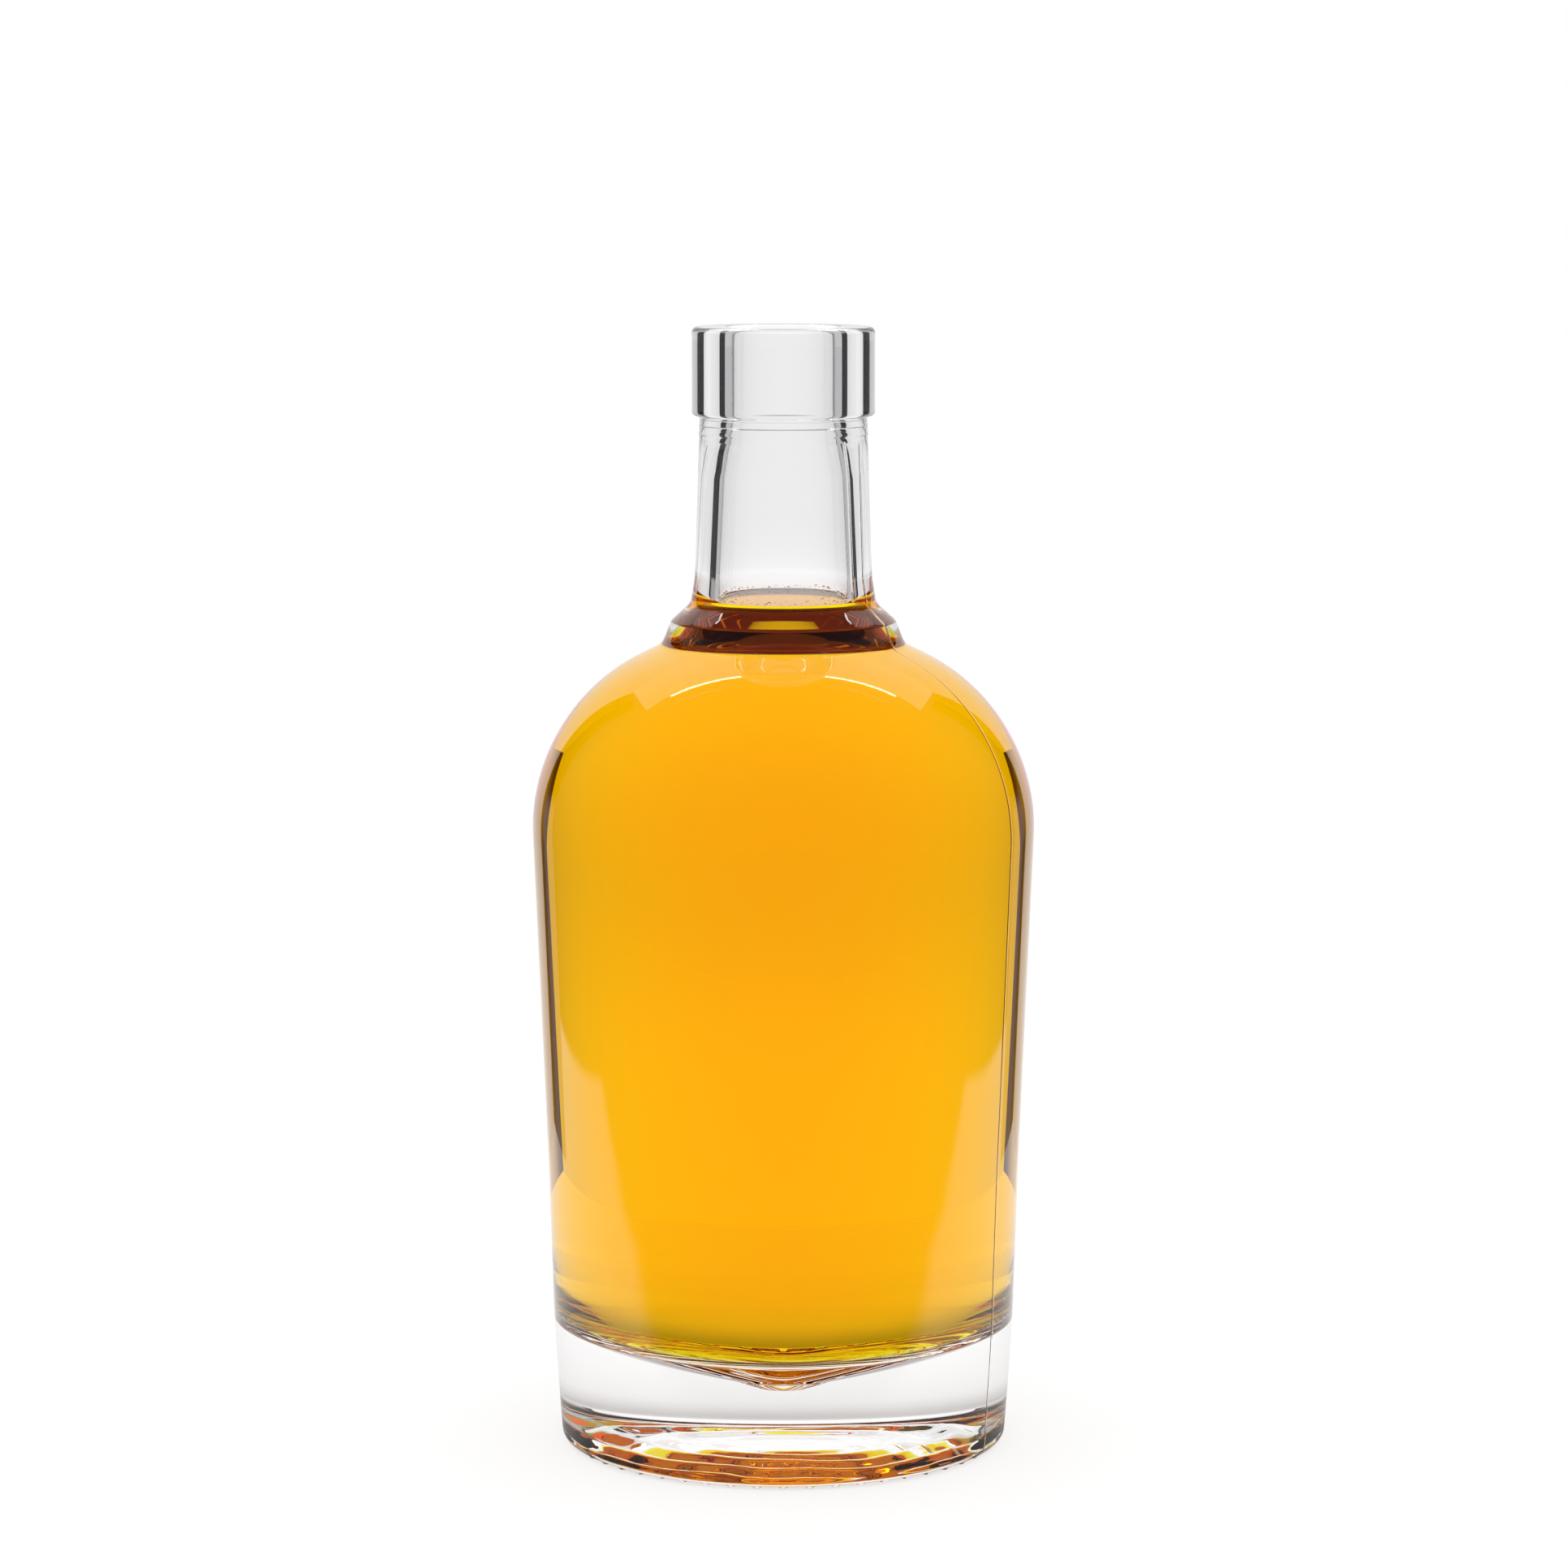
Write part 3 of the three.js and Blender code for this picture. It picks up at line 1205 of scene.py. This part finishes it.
@dataclass
class Studio:
    """The light tent, the floor and the camera. Sizes are in metres, and a glow of 1 is white.

    Attributes:
        panel_distance: distance of the white back panel behind the bottle.
        panel_foot: height of its lower edge.
        panel_glow: its glow where it is brightest.
        panel_side: fade towards its sides, with the distance from its middle.
        panel_side_fall: share of its glow that it loses there.
        panel_band_foot: lower edge of the dim band across it, with the height.
        panel_band_top: upper edge of that band.
        panel_band_fall: share of its glow that it loses there.
        panel_high: fade above that band, with the height.
        panel_high_fall: share of its glow that it loses there.
        foot_half_width: half the width of the tent at the floor.
        half_width: half its width at the roof.
        roof_half_width: half the width of the roof itself.
        roof_height: height of the roof.
        roof_front: where the roof ends towards the camera.
        roof_glow: glow of the roof.
        strip_inner: where the bright strip on each side of the roof's front edge starts, from the middle.
        strip_outer: where it ends.
        strip_depth: its depth.
        strip_glow: its glow.
        flap_front: where the dark sides of the tent end towards the camera.
        flap_spread: how much further out they stand there.
        flap_fade: fade to the grey at their foot, with the distance behind the bottle.
        flap_top: fade to that grey with the height.
        flap_glow: glow of that grey.
        floor_reach: half the width of the floor.
        floor_glow: glow of the floor, as the camera sees it.
        floor_paint: its paint, as the camera sees it.
        floor_paint_in_painted_shadow: its paint beside the bottle, as the glass and the drink see it,
            darkened there as a painted shadow of the bottle.
        floor_paint_past_painted_shadow: that paint further off, clear of the painted shadow.
        painted_shadow_fade: fade of the painted shadow into the paint further off, with the distance from
            the axis.
        tent_front: front edge of the tent's own floor.
        tent_side: its side edges, with the distance from its middle.
        tent_back: its back edge.
        tent_bend_start: distance from its middle at which its front edge starts to run back.
        tent_bend: how far the front edge runs back for each metre outwards.
        tent_outside_fall: share of its paint that the floor outside the tent loses in gloss.
        passed_share: how much less a ray that passed through the glass counts as mirrored.
        world_in_gloss: colour of the world in gloss.
        world_light: strength of the world as light on the object.
        lens_mm: the camera's focal length, in millimetres.
        sensor_mm: width of its sensor.
        clip_start: distance at which it starts to see.
        camera_place: where it stands.
        camera_pitch_degrees: how far it looks down.
        camera_shift: shift of the lens, which the photograph's framing needs.
    """

    panel_distance: float = 0.215
    panel_foot: float = -0.002
    panel_glow: float = 1.15
    panel_side: Span = (0.0, 0.2)
    panel_side_fall: float = 0.2
    panel_band_foot: Span = (0.03, 0.075)
    panel_band_top: Span = (0.15, 0.08)
    panel_band_fall: float = 0.09
    panel_high: Span = (0.125, 0.15)
    panel_high_fall: float = 0.15
    foot_half_width: float = 0.18
    half_width: float = 0.212
    roof_half_width: float = 0.208
    roof_height: float = 0.347
    roof_front: float = 0.08
    roof_glow: float = 1.0
    strip_inner: float = 0.037
    strip_outer: float = 0.149
    strip_depth: float = 0.008
    strip_glow: float = 9.0
    flap_front: float = 0.13
    flap_spread: float = 0.019
    flap_fade: Span = (0.205, 0.17)
    flap_top: Span = (0.13, 0.1)
    flap_glow: float = 0.4
    floor_reach: float = 3.0
    floor_glow: float = 0.72
    floor_paint: float = 0.27
    floor_paint_in_painted_shadow: float = 0.42
    floor_paint_past_painted_shadow: float = 0.86
    painted_shadow_fade: Span = (0.032, 0.068)
    tent_front: Span = (-0.075, -0.05)
    tent_side: Span = (0.32, 0.3)
    tent_back: Span = (0.26, 0.24)
    tent_bend_start: float = 0.17
    tent_bend: float = 0.5
    tent_outside_fall: float = 0.92
    passed_share: float = 0.45
    world_in_gloss: Colour = (0.07, 0.07, 0.1)
    world_light: float = 1.3
    lens_mm: float = 115.5
    sensor_mm: float = 36.0
    clip_start: float = 0.01
    camera_place: Spot = (0.0, -0.8656, 0.2265)
    camera_pitch_degrees: float = 7.316
    camera_shift: float = 0.00036

    def build(self) -> None:
        """Builds the tent, the world and the camera."""
        wide, back, top = self.half_width, self.panel_distance, self.roof_height
        foot, low = self.foot_half_width, self.panel_foot
        panel = [(-foot, back, low), (foot, back, low), (wide, back, top), (-wide, back, top)]
        self.fade_panel(self.card("back panel", panel, self.panel_glow))
        wing, front = self.roof_half_width, self.roof_front
        roof = [(-wing, front, top), (wing, front, top), (wing, back, top), (-wing, back, top)]
        self.card("roof", roof, self.roof_glow)
        for side in (-1, 1):
            near, far = side * self.strip_inner, side * self.strip_outer
            strip = [(near, front, top), (far, front, top), (far, front - self.strip_depth, top),
                     (near, front - self.strip_depth, top)]
            self.card("bright strip", strip, self.strip_glow)
        for side in (-1, 1):
            spread, near = side * self.flap_spread, self.flap_front
            flap = [(side * foot + spread, near, 0), (side * foot, back, 0),
                    (side * wide, back, top), (side * wide + spread, near, top)]
            self.fade_flap(self.card("dark side", flap, 0.0))
        self.floor()
        self.world()
        self.camera()

    def card(self, name: str, corners: list[Spot], strength: float) -> bpy.types.Material:
        """Places a glowing card that only the glass and the drink see.

        Args:
            name: name of the card.
            corners: its four corners, in metres.
            strength: strength of its glow, where 1 is white.

        Returns:
            The card's material.
        """
        mesh = bpy.data.meshes.new(name)
        mesh.from_pydata(corners, [], [(0, 1, 2, 3)])
        card = new_piece(name, mesh)
        card.visible_camera = False
        card.visible_diffuse = False
        card.visible_shadow = False
        material = bpy.data.materials.new(name)
        material.use_nodes = True
        shader = material.node_tree.nodes["Principled BSDF"]
        shader.inputs["Base Color"].default_value = (0.0, 0.0, 0.0, 1.0)
        shader.inputs["Specular IOR Level"].default_value = 0.0
        shader.inputs["Emission Color"].default_value = (*WHITE, 1.0)
        shader.inputs["Emission Strength"].default_value = strength
        mesh.materials.append(material)
        return material

    def fade_panel(self, material: bpy.types.Material) -> None:
        """Makes the back panel dimmer towards its sides, in a low band across it and above that band.

        Args:
            material: the panel's material.
        """
        tree = material.node_tree
        place = Place.shaded(tree)
        side = place.x.joined("ABSOLUTE").ramp(*self.panel_side) * self.panel_side_fall
        band = place.z.ramp(*self.panel_band_foot) * place.z.ramp(*self.panel_band_top)
        high = place.z.ramp(*self.panel_high) * self.panel_high_fall
        fall = side + band * self.panel_band_fall + high
        glow = fall * -self.panel_glow + self.panel_glow
        tree.links.new(glow.socket, tree.nodes["Principled BSDF"].inputs["Emission Strength"])

    def fade_flap(self, material: bpy.types.Material) -> None:
        """Makes a side flap grey at its foot, towards the camera, and black elsewhere.

        Args:
            material: the flap's material.
        """
        tree = material.node_tree
        place = Place.shaded(tree)
        glow = place.y.ramp(*self.flap_fade) * place.z.ramp(*self.flap_top) * self.flap_glow
        tree.links.new(glow.socket, tree.nodes["Principled BSDF"].inputs["Emission Strength"])

    def floor(self) -> None:
        """Lays the white floor. It keeps a soft shadow, and in gloss only the tent's own floor is white.
        Through the glass its paint also darkens towards the bottle, as a painted shadow.
        """
        mesh = bpy.data.meshes.new("floor")
        far = self.floor_reach
        corners = [(-far, -far, 0), (far, -far, 0), (far, far, 0), (-far, far, 0)]
        mesh.from_pydata(corners, [], [(0, 1, 2, 3)])
        floor = new_piece("floor", mesh)
        material = bpy.data.materials.new("white floor")
        material.use_nodes = True
        tree = material.node_tree
        shader = tree.nodes["Principled BSDF"]
        path = tree.nodes.new("ShaderNodeLightPath")
        seen = Value(tree, path.outputs["Is Camera Ray"])
        gloss = self.mirrored(tree, path)
        place = Place.shaded(tree)
        beside = place.x.joined("ABSOLUTE")
        bend = (beside - self.tent_bend_start).joined("MAXIMUM", 0.0) * self.tent_bend
        front = (place.y - bend).ramp(*self.tent_front)
        tent = front * beside.ramp(*self.tent_side) * place.y.ramp(*self.tent_back)
        # Painted shadow: the paint that the glass and the drink see darkens towards the bottle's foot, over
        # painted_shadow_fade from the axis
        near = place.radius.ramp(*self.painted_shadow_fade) * (self.floor_paint_past_painted_shadow - self.floor_paint_in_painted_shadow) + self.floor_paint_in_painted_shadow
        glow = seen * self.floor_glow
        shown = gloss * (tent * -1.0 + 1.0) * -self.tent_outside_fall + 1.0
        through = (seen * -1.0 + 1.0) * near * shown
        paint = seen * self.floor_paint + through
        tree.links.new(paint.socket, shader.inputs["Base Color"])
        tree.links.new(glow.socket, shader.inputs["Emission Strength"])
        shader.inputs["Emission Color"].default_value = (*WHITE, 1.0)
        shader.inputs["Roughness"].default_value = 1.0
        shader.inputs["Specular IOR Level"].default_value = 0.0
        mesh.materials.append(material)

    def mirrored(self, tree: bpy.types.NodeTree, path: bpy.types.Node) -> Value:
        """Tells rays that a gloss mirrors from the camera's own and those of soft light.

        Args:
            tree: the node tree.
            path: its Light Path node.

        Returns:
            1 for a mirrored ray, less for one that passed through the glass, and 0 for any other.
        """
        passed = Value(tree, path.outputs["Is Transmission Ray"]) * self.passed_share
        return Value(tree, path.outputs["Is Glossy Ray"]) * (passed * -1.0 + 1.0)

    def world(self) -> None:
        """Sets the world: white behind the bottle, dark in its gloss, in between through the glass."""
        world = bpy.data.worlds.new("tent")
        bpy.context.scene.world = world
        world.use_nodes = True
        nodes, links = world.node_tree.nodes, world.node_tree.links
        background = nodes["Background"]
        path = nodes.new("ShaderNodeLightPath")
        tint = nodes.new("ShaderNodeMix")
        tint.data_type = "RGBA"
        links.new(self.mirrored(world.node_tree, path).socket, tint.inputs["Factor"])
        tint.inputs["A"].default_value = (*WHITE, 1.0)
        tint.inputs["B"].default_value = (*self.world_in_gloss, 1.0)
        links.new(tint.outputs["Result"], background.inputs["Color"])
        lit = nodes.new("ShaderNodeMapRange")
        links.new(path.outputs["Is Diffuse Ray"], lit.inputs["Value"])
        lit.inputs["To Min"].default_value = 1.0
        lit.inputs["To Max"].default_value = self.world_light
        links.new(lit.outputs["Result"], background.inputs["Strength"])

    def camera(self) -> None:
        """Places the camera."""
        data = bpy.data.cameras.new("camera")
        data.lens = self.lens_mm
        data.sensor_width = self.sensor_mm
        data.shift_x = self.camera_shift
        data.clip_start = self.clip_start
        camera = bpy.data.objects.new("camera", data)
        camera.location = self.camera_place
        camera.rotation_euler = (math.radians(90 - self.camera_pitch_degrees), 0.0, 0.0)
        bpy.context.scene.collection.objects.link(camera)
        bpy.context.scene.camera = camera


def main() -> None:
    """Builds the bottle, the drink, the droplets and the studio."""
    logging.basicConfig(level=logging.INFO)
    scene = bpy.context.scene
    scene.view_settings.view_transform = "Standard"
    scene.cycles.max_bounces = BOUNCES
    scene.cycles.transmission_bounces = BOUNCES
    scene.cycles.glossy_bounces = GLOSSY_BOUNCES
    glass = Glass().build()
    drink = Drink().build()
    droplets = Droplets().build(Section(), drink.data.materials[0])
    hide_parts("bottle")
    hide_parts("drink")
    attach(glass, "root")
    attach(drink, "root")
    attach(droplets, "root")
    Studio().build()


if __name__ == "__main__":
    main()
